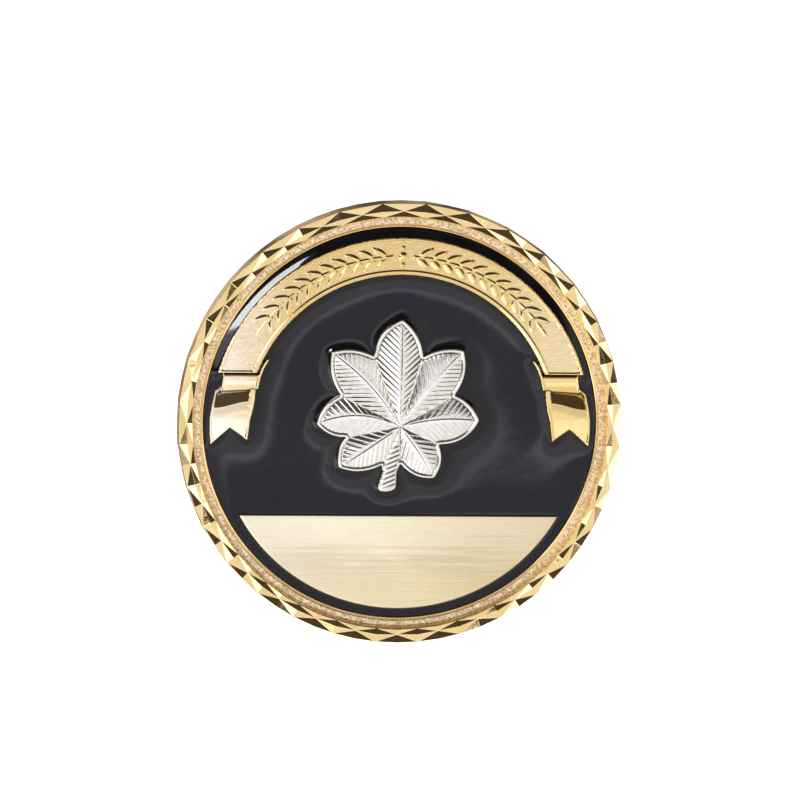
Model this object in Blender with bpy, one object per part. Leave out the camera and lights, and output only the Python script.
"""A 1 3/4 inch challenge coin, built as it would be assembled.

A struck brass body with a diamond-cut rim carries an enamel fill and three applied emblems:
a scroll, a plate for engraving and a leaf. Each emblem stands on a solder film and two studs.
The coin lies flat: +Z points out of the front, +Y to 12 o'clock, the origin is at the back's centre.
"""

import math

import bmesh
import bpy

# All lengths below are in millimetres; MM turns them into metres.
MM = 0.001

# Overall size
COIN_RADIUS = 22.225
THICKNESS = 3.5
MID_PLANE = THICKNESS / 2

# Round outlines and the diamond columns of the rim
ROUND = 128
COLUMNS = 64

# Diamond rim, rows from the top edge out to the equator: radius, height, and half the relief along each
RIM_ROWS = (
    (20.70, 3.35, 0.00, 0.13),
    (21.25, 3.33, 0.02, 0.17),
    (22.05, 3.29, 0.01, 0.13),
)
EQUATOR_PEAK = COIN_RADIUS
EQUATOR_NODE = 22.17

# Front: foot of the rim wall, frosted ring, bead lip and enamel floor
WALL_FOOT = 20.52
RING_Z = 2.45
RING_INNER = 19.90
GROOVE_RADIUS = 19.84
GROOVE_Z = 2.40
LIP_OUTER = 19.78
LIP_INNER = 19.62
LIP_Z = 2.52
POOL_RADIUS = 19.57
FLOOR_Z = 1.55

# Back: flat land that the coin rests on, and the recessed field
LAND_PEAK = 20.84
LAND_NODE = 20.58
LAND_INNER = 19.90
BACK_FIELD_RADIUS = 19.70
BACK_FIELD_Z = 0.45

# The artwork is struck about a centre a little below the coin's own
ART_Y = -0.42

# Stack under each emblem
GAP = 0.02
FILM = 0.06
FILM_Z = FLOOR_Z + GAP
EMBLEM_Z = FILM_Z + FILM + GAP
FILM_INSET = 0.45

# Studs and their blind holes
STUD_RADIUS = 0.5
HOLE_RADIUS = 0.55
HOLE_Z = 0.95
STUD_Z = HOLE_Z + 0.05
STUD_SIDES = 24

# Enamel
ENAMEL_TOP = 2.25
ENAMEL_CLEARANCE = 0.03

# Scroll: band between two arcs, cut off level at its ends, with a raised border
BAND_OUTER = 19.0
BAND_INNER = 15.3
BAND_END_Y = 5.0
BAND_FACE_Z = 3.02
BAND_BORDER_Z = 3.14
BAND_BORDER = 0.28
BAND_SLOPE = 0.1
BAND_STEPS = 48

# Folded ribbon ends, right side: the turned-back strip and the swallow-tail below it
STRIP_Z = 2.86
STRIP = (
    (13.05, 6.41),
    (13.62, 5.45),
    (13.95, 4.55),
    (14.20, 3.38),
    (17.88, 3.16),
    (17.68, 4.60),
    (17.75, 5.60),
    (14.60, 5.60),
)
TAIL_Z = 2.95
TAIL_CHAMFER = 0.06
TAIL = (
    (14.42, 3.70),
    (14.50, 2.40),
    (14.62, 1.60),
    (14.95, 0.30),
    (15.20, -1.76),
    (16.95, -0.49),
    (18.85, -2.20),
    (18.97, -0.90),
    (18.97, 0.42),
    (18.80, 1.60),
    (18.47, 3.06),
    (17.80, 3.60),
)

# Plate for engraving: the part of a disc below a level chord
PLATE_RADIUS = 18.2
PLATE_TOP_Y = -9.27
PLATE_Z = 2.95
PLATE_CHAMFER = 0.08
PLATE_STEPS = 40

# Leaf: the veins meet at the hub
LEAF_HUB = (0.0, -0.25)
LEAF_TOP_Z = 3.40
LEAF_EDGE_Z = 3.18
LEAF_VALLEY_Z = 3.24
LEAF_STEPS = 6
# Each lobe: tip, bulge of its clockwise-first side and of its other side, bend of its midrib
LEAF_LOBES = (
    ((0.03, 10.47), 0.150, 0.110, 0.00),
    ((6.16, 7.42), 0.095, 0.125, 0.03),
    ((7.86, 0.38), 0.110, 0.155, 0.06),
    ((3.43, -5.42), 0.140, 0.140, 0.03),
    ((-1.28, -6.84), 0.0, 0.0, -0.04),
    ((-6.05, -4.44), 0.115, 0.140, 0.00),
    ((-8.36, 0.00), 0.130, 0.115, -0.12),
    ((-6.98, 7.18), 0.110, 0.100, -0.06),
)
# Each notch lies clockwise of the lobe of the same place in the list
LEAF_NOTCHES = (
    (2.16, 6.78),
    (5.36, 2.94),
    (3.86, -2.04),
    (0.10, -4.00),
    (-1.80, -4.14),
    (-5.40, -1.36),
    (-5.98, 2.86),
    (-2.72, 6.80),
)
STEM_LOBE = 4
STEM_RIGHT = ((-0.28, -4.75), (-0.33, -5.90), (-0.36, -6.45), (-0.70, -6.72))
STEM_LEFT = ((-1.74, -4.80), (-1.95, -5.60), (-2.20, -6.40), (-1.90, -6.82))

# Stud places: x, y
SCROLL_STUDS = {"left": (-11.2, 12.2), "right": (11.2, 12.2)}
PLATE_STUDS = {"left": (-8.0, -12.0), "right": (8.0, -12.0)}
LEAF_STUDS = {"upper": (0.0, 4.6), "lower": (-0.6, -2.2)}

GOLD = (0.86, 0.66, 0.33, 1.0)
CHAMPAGNE = (0.84, 0.69, 0.42, 1.0)
SILVER = (0.80, 0.79, 0.77, 1.0)
BLACK = (0.012, 0.013, 0.018, 1.0)
TIN = (0.55, 0.55, 0.56, 1.0)


def clear_scene():
    for item in list(bpy.data.objects):
        bpy.data.objects.remove(item, do_unlink=True)


def make_material(name, colour, metallic, roughness):
    material = bpy.data.materials.new(name)
    material.use_nodes = True
    shader = material.node_tree.nodes["Principled BSDF"]
    shader.inputs["Base Color"].default_value = colour
    shader.inputs["Metallic"].default_value = metallic
    shader.inputs["Roughness"].default_value = roughness
    material.diffuse_color = colour
    return material


def add_node(name, bm, material, smooth_degrees=30.0):
    """The bmesh as an object, with its faces pointing out and its round sides shaded smooth."""
    bmesh.ops.recalc_face_normals(bm, faces=bm.faces[:])
    mesh = bpy.data.meshes.new(name)
    bm.to_mesh(mesh)
    bm.free()
    mesh.materials.append(material)
    mesh.shade_smooth()
    mesh.set_sharp_from_angle(angle=math.radians(smooth_degrees))
    node = bpy.data.objects.new(name, mesh)
    bpy.context.scene.collection.objects.link(node)
    return node


def add_loop(bm, points, z):
    """Vertices at one height, from points in the coin's plane."""
    return [bm.verts.new((x * MM, y * MM, z * MM)) for x, y in points]


def bridge(bm, lower, upper):
    """Quads between two closed loops of the same length."""
    count = len(lower)
    for i in range(count):
        after = (i + 1) % count
        bm.faces.new((lower[i], lower[after], upper[after], upper[i]))


def circle(radius, count=ROUND, centre=(0.0, 0.0)):
    turns = (2 * math.pi * i / count for i in range(count))
    return [(centre[0] + radius * math.cos(t), centre[1] + radius * math.sin(t)) for t in turns]


def grown(points, distance):
    """An anticlockwise outline moved outwards by a distance, corners mitred."""
    moved = []
    for i, (x, y) in enumerate(points):
        before, after = points[i - 1], points[(i + 1) % len(points)]
        into = math.atan2(y - before[1], x - before[0])
        out = math.atan2(after[1] - y, after[0] - x)
        half_turn = (out - into + math.pi) % (2 * math.pi) / 2 - math.pi / 2
        normal = into + half_turn - math.pi / 2
        reach = distance / max(math.cos(half_turn), 0.35)
        moved.append((x + reach * math.cos(normal), y + reach * math.sin(normal)))
    return moved


def anticlockwise(points):
    doubled = sum(a[0] * b[1] - b[0] * a[1] for a, b in zip(points, points[1:] + points[:1]))
    return list(points) if doubled > 0 else list(reversed(points))


def prism(outline, z0, z1, chamfer=0.0):
    """An outline stood up from z0 to z1, with its top edge chamfered."""
    outline = anticlockwise(list(outline))
    bm = bmesh.new()
    loops = [add_loop(bm, outline, z0), add_loop(bm, outline, z1 - chamfer)]
    if chamfer:
        loops.append(add_loop(bm, grown(outline, -chamfer), z1))
    for lower, upper in zip(loops, loops[1:]):
        bridge(bm, lower, upper)
    bm.faces.new(loops[0])
    bm.faces.new(loops[-1])
    return bm


def cylinder(radius, z0, z1, centre):
    return prism(circle(radius, STUD_SIDES, centre), z0, z1)


def mirrored(points):
    return [(-x, y) for x, y in points]


def hide_cutter(cutter):
    cutter.hide_render = True
    cutter.display_type = "WIRE"
    return cutter


def apply_boolean(target, other, operation):
    modifier = target.modifiers.new(operation.lower(), "BOOLEAN")
    modifier.operation = operation
    modifier.solver = "EXACT"
    modifier.object = hide_cutter(other)


# Body -----------------------------------------------------------------------------------------


def is_node(row, column):
    """Valley lines cross at every other point of each row; the points between them are peaks."""
    return (row + column) % 2 == 1


def rim_row(bm, row, radius, z, radial_relief, height_relief, flip):
    """One row of the diamond rim, peaks standing out and nodes cut in; flip mirrors it to the back."""
    verts = []
    for column in range(COLUMNS):
        side = -1.0 if is_node(row, column) else 1.0
        angle = 2 * math.pi * column / COLUMNS
        r = radius + side * radial_relief
        height = z + side * height_relief
        if flip:
            height = THICKNESS - height
        verts.append(bm.verts.new((r * math.cos(angle) * MM, r * math.sin(angle) * MM, height * MM)))
    return verts


def equator_row(bm, row):
    relief = (EQUATOR_PEAK - EQUATOR_NODE) / 2
    return rim_row(bm, row, EQUATOR_NODE + relief, MID_PLANE, relief, 0.0, False)


def land_row(bm):
    """Where the back's flat land cuts through the first row of diamonds."""
    relief = (LAND_PEAK - LAND_NODE) / 2
    return rim_row(bm, 0, LAND_NODE + relief, 0.0, relief, 0.0, False)


def facets(bm, row, inner, outer):
    """Flat triangles between two rows, each quad split along the valley line that joins its nodes."""
    for column in range(COLUMNS):
        after = (column + 1) % COLUMNS
        a, b, c, d = inner[column], inner[after], outer[after], outer[column]
        if is_node(row, column):
            bm.faces.new((a, b, c))
            bm.faces.new((a, c, d))
        else:
            bm.faces.new((a, b, d))
            bm.faces.new((b, c, d))


def join_row_to_circle(bm, row, ring):
    """Triangles from a rim row to a circle with twice as many points."""
    for column in range(COLUMNS):
        a, b = row[column], row[(column + 1) % COLUMNS]
        first, middle, last = (ring[(2 * column + k) % ROUND] for k in range(3))
        bm.faces.new((a, first, middle))
        bm.faces.new((a, middle, b))
        bm.faces.new((b, middle, last))


def turned_rings(bm, profile):
    """Circles down a turned profile, bridged, and the last one filled."""
    rings = [add_loop(bm, circle(radius), z) for radius, z in profile]
    for outer, inner in zip(rings, rings[1:]):
        bridge(bm, outer, inner)
    bm.faces.new(rings[-1])
    return rings[0]


def build_body(gold, holes):
    bm = bmesh.new()
    front = [rim_row(bm, i, *row, flip=False) for i, row in enumerate(RIM_ROWS)]
    equator = equator_row(bm, len(RIM_ROWS))
    back = [rim_row(bm, i, *row, flip=True) for i, row in enumerate(RIM_ROWS) if i > 0]
    rows = [(0, front[0], front[1]), (1, front[1], front[2]), (2, front[2], equator)]
    rows += [(0, land_row(bm), back[0]), (1, back[0], back[1]), (2, back[1], equator)]
    for row, inner, outer in rows:
        facets(bm, row, inner, outer)
    front_profile = (
        (WALL_FOOT, RING_Z),
        (RING_INNER, RING_Z),
        (GROOVE_RADIUS, GROOVE_Z),
        (LIP_OUTER, LIP_Z),
        (LIP_INNER, LIP_Z),
        (POOL_RADIUS, RING_Z),
        (POOL_RADIUS, FLOOR_Z),
    )
    join_row_to_circle(bm, front[0], turned_rings(bm, front_profile))
    back_profile = ((LAND_INNER, 0.0), (BACK_FIELD_RADIUS, BACK_FIELD_Z))
    join_row_to_circle(bm, rows[3][1], turned_rings(bm, back_profile))
    body = add_node("coin_body", bm, gold, smooth_degrees=12.0)
    for hole in holes:
        apply_boolean(body, hole, "DIFFERENCE")
    return body


# Scroll ---------------------------------------------------------------------------------------


def band_point(radius, share, end_y):
    """A point on the band's arc: share runs from -1 at the left end to 1 at the right."""
    angle = share * math.acos((end_y - ART_Y) / radius)
    return (radius * math.sin(angle), ART_Y + radius * math.cos(angle))


def band_solid(profile, end_y):
    """A closed profile of (radius, z) swept along the arc; both ends lie in the level plane y = end_y."""
    bm = bmesh.new()
    sections = []
    for step in range(BAND_STEPS + 1):
        share = 2 * step / BAND_STEPS - 1
        places = [(*band_point(radius, share, end_y), z) for radius, z in profile]
        sections.append([bm.verts.new((x * MM, y * MM, z * MM)) for x, y, z in places])
    for before, after in zip(sections, sections[1:]):
        bridge(bm, before, after)
    bm.faces.new(sections[0])
    bm.faces.new(sections[-1])
    return bm


def rectangle_profile(inner, outer, z0, z1):
    return ((inner, z0), (inner, z1), (outer, z1), (outer, z0))


def band_profile():
    """The band's section: a flat ground between two raised borders."""
    inner_step = BAND_INNER + BAND_BORDER
    outer_step = BAND_OUTER - BAND_BORDER
    return (
        (BAND_INNER, EMBLEM_Z),
        (BAND_INNER, BAND_BORDER_Z),
        (inner_step, BAND_BORDER_Z),
        (inner_step + BAND_SLOPE, BAND_FACE_Z),
        (outer_step - BAND_SLOPE, BAND_FACE_Z),
        (outer_step, BAND_BORDER_Z),
        (BAND_OUTER, BAND_BORDER_Z),
        (BAND_OUTER, EMBLEM_Z),
    )


def scroll_ends():
    """Name, outline and height of the four pieces that the band's ends are made of."""
    yield "strip_right", STRIP, STRIP_Z, 0.0
    yield "strip_left", mirrored(STRIP), STRIP_Z, 0.0
    yield "tail_right", TAIL, TAIL_Z, TAIL_CHAMFER
    yield "tail_left", mirrored(TAIL), TAIL_Z, TAIL_CHAMFER


def build_scroll(gold):
    scroll = add_node("scroll_banner", band_solid(band_profile(), BAND_END_Y), gold)
    for name, outline, top, chamfer in scroll_ends():
        end = add_node(name, prism(outline, EMBLEM_Z, top, chamfer), gold)
        apply_boolean(scroll, end, "UNION")
    return scroll


def build_scroll_solder(tin, holes):
    profile = rectangle_profile(BAND_INNER + FILM_INSET, BAND_OUTER - FILM_INSET, FILM_Z, FILM_Z + FILM)
    film = add_node("scroll_solder", band_solid(profile, BAND_END_Y + FILM_INSET), tin)
    for hole in holes:
        apply_boolean(film, hole, "DIFFERENCE")
    return film


# Plate ----------------------------------------------------------------------------------------


def plate_outline(radius=PLATE_RADIUS, top_y=PLATE_TOP_Y):
    """A circle's segment below a level chord, anticlockwise from its left corner."""
    half = math.acos((ART_Y - top_y) / radius)
    turns = (-math.pi / 2 + half * (2 * i / PLATE_STEPS - 1) for i in range(PLATE_STEPS + 1))
    return [(radius * math.cos(t), ART_Y + radius * math.sin(t)) for t in turns]


def build_plate(champagne):
    return add_node("engraving_plate", prism(plate_outline(), EMBLEM_Z, PLATE_Z, PLATE_CHAMFER), champagne)


def build_plate_solder(tin, holes):
    outline = plate_outline(PLATE_RADIUS - FILM_INSET, PLATE_TOP_Y - FILM_INSET)
    film = add_node("plate_solder", prism(outline, FILM_Z, FILM_Z + FILM), tin)
    for hole in holes:
        apply_boolean(film, hole, "DIFFERENCE")
    return film


# Leaf -----------------------------------------------------------------------------------------


def arc_points(start, end, bulge, steps=LEAF_STEPS):
    """Points of a shallow arc, its middle standing off the chord to the left by bulge times its length."""
    along = (end[0] - start[0], end[1] - start[1])
    left = (-along[1], along[0])
    points = []
    for i in range(steps + 1):
        t = i / steps
        rise = bulge * 4 * t * (1 - t)
        points.append((start[0] + along[0] * t + left[0] * rise, start[1] + along[1] * t + left[1] * rise))
    return points


def lobe_sides(lobe):
    """The lobe's two sides, both running from a notch out to the tip: clockwise side first."""
    tip, first_bulge, second_bulge, _ = LEAF_LOBES[lobe]
    before, after = LEAF_NOTCHES[lobe - 1], LEAF_NOTCHES[lobe]
    if lobe == STEM_LOBE:
        return [before, *STEM_RIGHT, tip], [after, *STEM_LEFT, tip]
    return arc_points(before, tip, first_bulge), arc_points(after, tip, -second_bulge)


def leaf_outline():
    """The whole outline, clockwise from the notch left of the top lobe."""
    outline = []
    for lobe in range(len(LEAF_LOBES)):
        out, back = lobe_sides(lobe)
        outline += out[:-1] + back[:0:-1]
    return outline


def midrib_points(lobe, steps):
    tip, _, _, bend = LEAF_LOBES[lobe]
    return arc_points(LEAF_HUB, tip, bend, steps)


def build_leaf(silver):
    """Vertical sides up to the outline, and on top two sloping halves to each lobe along its midrib."""
    bm = bmesh.new()
    outline = leaf_outline()
    foot = add_loop(bm, outline, EMBLEM_Z)
    edge = add_loop(bm, outline, LEAF_EDGE_Z)
    bridge(bm, foot, edge)
    bm.faces.new(foot)
    hub = bm.verts.new((LEAF_HUB[0] * MM, LEAF_HUB[1] * MM, LEAF_VALLEY_Z * MM))
    start = 0
    for lobe in range(len(LEAF_LOBES)):
        out, back = lobe_sides(lobe)
        steps = len(out) - 1
        ribs = [hub]
        for share, (x, y) in enumerate(midrib_points(lobe, steps)[1:-1], start=1):
            crown = LEAF_VALLEY_Z + (LEAF_TOP_Z - LEAF_VALLEY_Z) * math.sin(math.pi * share / steps)
            ribs.append(bm.verts.new((x * MM, y * MM, crown * MM)))
        near = edge[start : start + steps + 1]
        start += steps
        far = [edge[(start + steps - k) % len(edge)] for k in range(len(back))]
        start += steps
        ribs.append(near[-1])
        for side in (near, far):
            for k in range(steps - 1):
                bm.faces.new((ribs[k], ribs[k + 1], side[k + 1], side[k]))
            bm.faces.new((ribs[-2], side[-1], side[-2]))
    bmesh.ops.triangulate(bm, faces=[face for face in bm.faces if len(face.verts) == 4])
    return add_node("leaf_emblem", bm, silver, smooth_degrees=20.0)


def build_leaf_solder(tin, holes):
    outline = grown(anticlockwise(leaf_outline()), -FILM_INSET)
    film = add_node("leaf_solder", prism(outline, FILM_Z, FILM_Z + FILM), tin)
    for hole in holes:
        apply_boolean(film, hole, "DIFFERENCE")
    return film


# Enamel ---------------------------------------------------------------------------------------


def build_enamel(black):
    """The disc of the pool with every emblem's outline cut out of it."""
    top = ENAMEL_TOP
    enamel = add_node("front_enamel", prism(circle(POOL_RADIUS - ENAMEL_CLEARANCE), FILM_Z, top), black)
    low, high = FILM_Z - 1.0, top + 1.0
    band = rectangle_profile(BAND_INNER - ENAMEL_CLEARANCE, BAND_OUTER + ENAMEL_CLEARANCE, low, high)
    cutters = [("band", band_solid(band, BAND_END_Y - ENAMEL_CLEARANCE))]
    outlines = [(name, outline) for name, outline, _, _ in scroll_ends()]
    outlines += [("plate", plate_outline()), ("leaf", leaf_outline())]
    for name, outline in outlines:
        cutters.append((name, prism(grown(anticlockwise(list(outline)), ENAMEL_CLEARANCE), low, high)))
    for name, bm in cutters:
        apply_boolean(enamel, add_node(f"{name}_cutter", bm, black), "DIFFERENCE")
    return enamel


# Assembly -------------------------------------------------------------------------------------


def build_studs(piece, places, gold):
    """The two studs under one emblem, and a cutter for each one's hole."""
    cutters = []
    for side, centre in places.items():
        add_node(f"{piece}_post_{side}", cylinder(STUD_RADIUS, STUD_Z, EMBLEM_Z - GAP, centre), gold)
        hole = cylinder(HOLE_RADIUS, HOLE_Z, EMBLEM_Z + 1.0, centre)
        cutters.append(hide_cutter(add_node(f"{piece}_hole_{side}", hole, gold)))
    return cutters


def build_coin():
    gold = make_material("gold_plate", GOLD, 1.0, 0.22)
    champagne = make_material("brushed_gold", CHAMPAGNE, 1.0, 0.35)
    silver = make_material("silver_plate", SILVER, 1.0, 0.25)
    black = make_material("black_enamel", BLACK, 0.0, 0.08)
    tin = make_material("tin_solder", TIN, 1.0, 0.5)
    scroll_holes = build_studs("scroll", SCROLL_STUDS, gold)
    plate_holes = build_studs("plate", PLATE_STUDS, gold)
    leaf_holes = build_studs("leaf", LEAF_STUDS, silver)
    build_body(gold, scroll_holes + plate_holes + leaf_holes)
    build_enamel(black)
    build_scroll(gold)
    build_scroll_solder(tin, scroll_holes)
    build_plate(champagne)
    build_plate_solder(tin, plate_holes)
    build_leaf(silver)
    build_leaf_solder(tin, leaf_holes)


clear_scene()
build_coin()
